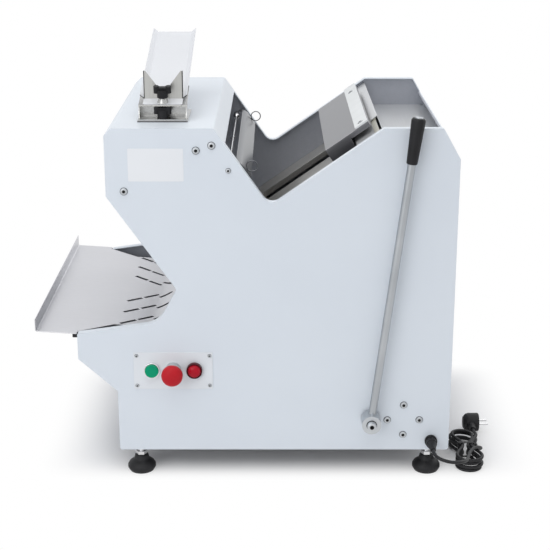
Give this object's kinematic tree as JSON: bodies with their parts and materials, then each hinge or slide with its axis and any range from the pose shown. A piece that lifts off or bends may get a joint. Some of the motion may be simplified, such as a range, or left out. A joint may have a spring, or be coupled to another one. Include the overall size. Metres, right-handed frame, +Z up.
{
  "type": "bread slicer machine",
  "caption": "Countertop bread slicer with a sloping feed bed, hand-lever pusher, reciprocating blade frames, output tray, bagging scoop, push-button controls and a bundled mains cord.",
  "frame": {"origin": "middle of the machine's box at the level of the surface that the rubber feet stand on, with the cord left out", "axes": "+X from the output tray towards the rear cover, +Y from the lever side to the far side, +Z up"},
  "size_m": [0.889, 0.6573, 0.8062],
  "materials": {
    "white_paint": "satin white powder coat",
    "tray_steel": "satin stainless sheet",
    "bed_steel": "brushed stainless sheet",
    "bright_steel": "polished",
    "frame_steel": "machined",
    "blade_steel": "ground",
    "pulley_iron": "turned",
    "motor_paint": "satin paint",
    "black_rubber": "matte",
    "black_plastic": "moulded",
    "white_plastic": "moulded",
    "plate_white": "printed plate left bare",
    "bezel_chrome": "polished",
    "green_plastic": "gloss",
    "red_plastic": "gloss",
    "lamp_red": "clear red"
  },
  "bodies": {
    "machine": {"near_side_panel": "white_paint", "far_side_panel": "white_paint", "top_cover": "white_paint", "outfeed_hood": "white_paint", "chin_cover": "white_paint", "rear_cover": "white_paint", "rear_deck": "bed_steel", "upper_deck": "bed_steel", "base_plate": "frame_steel", "rubber_pads": "black_rubber", "foot_studs": "bright_steel", "output_tray": "tray_steel", "feed_bed": "bed_steel", "cross_beams": "frame_steel", "guide_rods": "bright_steel", "shaft_bearings": "frame_steel", "drive_belt": "black_rubber", "motor": "motor_paint", "motor_cradle": "frame_steel", "stop_block": "frame_steel", "return_spring": "bright_steel", "control_plate": "plate_white", "control_bezels": "bezel_chrome", "lamp_lens": "lamp_red", "contact_blocks": "black_plastic", "panel_screws": "bright_steel", "flap_rod": "bright_steel", "scoop_base": "bed_steel", "scoop_bracket": "bed_steel", "bagging_scoop": "white_paint", "cord_gland": "black_rubber", "cord_lead": "black_rubber", "cord_hank": "black_rubber", "cord_tie": "black_plastic", "plug": "black_plastic", "plug_pins": "bright_steel"},
    "lever": {"lever_hub": "bright_steel", "lever_rod": "bright_steel", "lever_grip": "black_rubber", "lever_bolt": "bright_steel", "lever_shaft": "bright_steel", "lever_arms": "frame_steel"},
    "pusher": {"pusher_plate": "bed_steel", "pusher_strip": "white_plastic", "pusher_carriage": "frame_steel"},
    "front_frame": {"front_blade_frame": "frame_steel", "front_blades": "blade_steel"},
    "rear_frame": {"rear_blade_frame": "frame_steel", "rear_blades": "blade_steel"},
    "crank": {"crankshaft": "bright_steel", "crank_pulley": "pulley_iron"},
    "front_rod": {"front_connecting_rod": "frame_steel"},
    "rear_rod": {"rear_connecting_rod": "frame_steel"},
    "motor_rotor": {"motor_shaft": "bright_steel", "motor_pulley": "pulley_iron"},
    "start_cap": {"start_button": "green_plastic"},
    "stop_cap": {"stop_button": "red_plastic"},
    "flap": {"hold_down_flap": "bed_steel"},
    "near_clamp": {"near_knob": "black_plastic"},
    "far_clamp": {"far_knob": "black_plastic"}
  },
  "joints": [
    {"name": "lever_swing", "type": "hinge", "parent": "machine", "child": "lever", "pos_m": [0.239, 0, 0.123], "axis": [0, -1, 0], "range_deg": [0, 27.39], "stiffness_Nm_per_rad": 6, "springref_deg": -114.59, "deforming": ["return_spring"]},
    {"name": "pusher_slide", "type": "slide", "parent": "machine", "child": "pusher", "axis": [-0.8192, 0, -0.5736], "range_m": [0, 0.19]},
    {"name": "front_frame_slide", "type": "slide", "parent": "machine", "child": "front_frame", "axis": [-0.5736, 0, 0.8192], "range_m": [-0.015, 0.015]},
    {"name": "rear_frame_slide", "type": "slide", "parent": "machine", "child": "rear_frame", "axis": [-0.5736, 0, 0.8192], "range_m": [-0.015, 0.015]},
    {"name": "crank_spin", "type": "hinge", "parent": "machine", "child": "crank", "pos_m": [0.15045, 0, 0.18147], "axis": [0, 1, 0], "continuous": true},
    {"name": "front_rod_turn", "type": "hinge", "parent": "crank", "child": "front_rod", "pos_m": [0.16274, 0.0035, 0.19007], "axis": [0, 1, 0], "continuous": true},
    {"name": "rear_rod_turn", "type": "hinge", "parent": "crank", "child": "rear_rod", "pos_m": [0.13817, 0.0435, 0.17286], "axis": [0, 1, 0], "continuous": true},
    {"name": "motor_spin", "type": "hinge", "parent": "machine", "child": "motor_rotor", "pos_m": [-0.11, 0.2485, 0.13], "axis": [0, 1, 0], "continuous": true},
    {"name": "start_press", "type": "slide", "parent": "machine", "child": "start_cap", "axis": [0, 1, 0], "range_m": [0, 0.004], "stiffness_N_per_m": 800, "springref_m": -0.004},
    {"name": "stop_press", "type": "slide", "parent": "machine", "child": "stop_cap", "axis": [0, 1, 0], "range_m": [0, 0.004], "stiffness_N_per_m": 1200, "springref_m": -0.004},
    {"name": "flap_hinge", "type": "hinge", "parent": "machine", "child": "flap", "pos_m": [-0.02648, 0.0235, 0.60327], "axis": [0, -1, 0], "range_deg": [0, 60]},
    {"name": "near_knob_turn", "type": "hinge", "parent": "machine", "child": "near_clamp", "pos_m": [-0.147, -0.19, 0.685], "axis": [0, 0, 1], "continuous": true},
    {"name": "far_knob_turn", "type": "hinge", "parent": "machine", "child": "far_clamp", "pos_m": [-0.147, -0.18049, 0.71199], "axis": [0, -0.2504, 0.9681], "continuous": true}
  ],
  "couplings": [
    {"joint": "pusher_slide", "follows": "lever_swing", "m_per_rad": 0.39736},
    {"joint": "rear_frame_slide", "follows": "front_frame_slide", "ratio": -1},
    {"joint": "front_rod_turn", "follows": "crank_spin", "ratio": -1},
    {"joint": "rear_rod_turn", "follows": "crank_spin", "ratio": -1},
    {"joint": "motor_spin", "follows": "crank_spin", "ratio": 2.5}
  ]
}
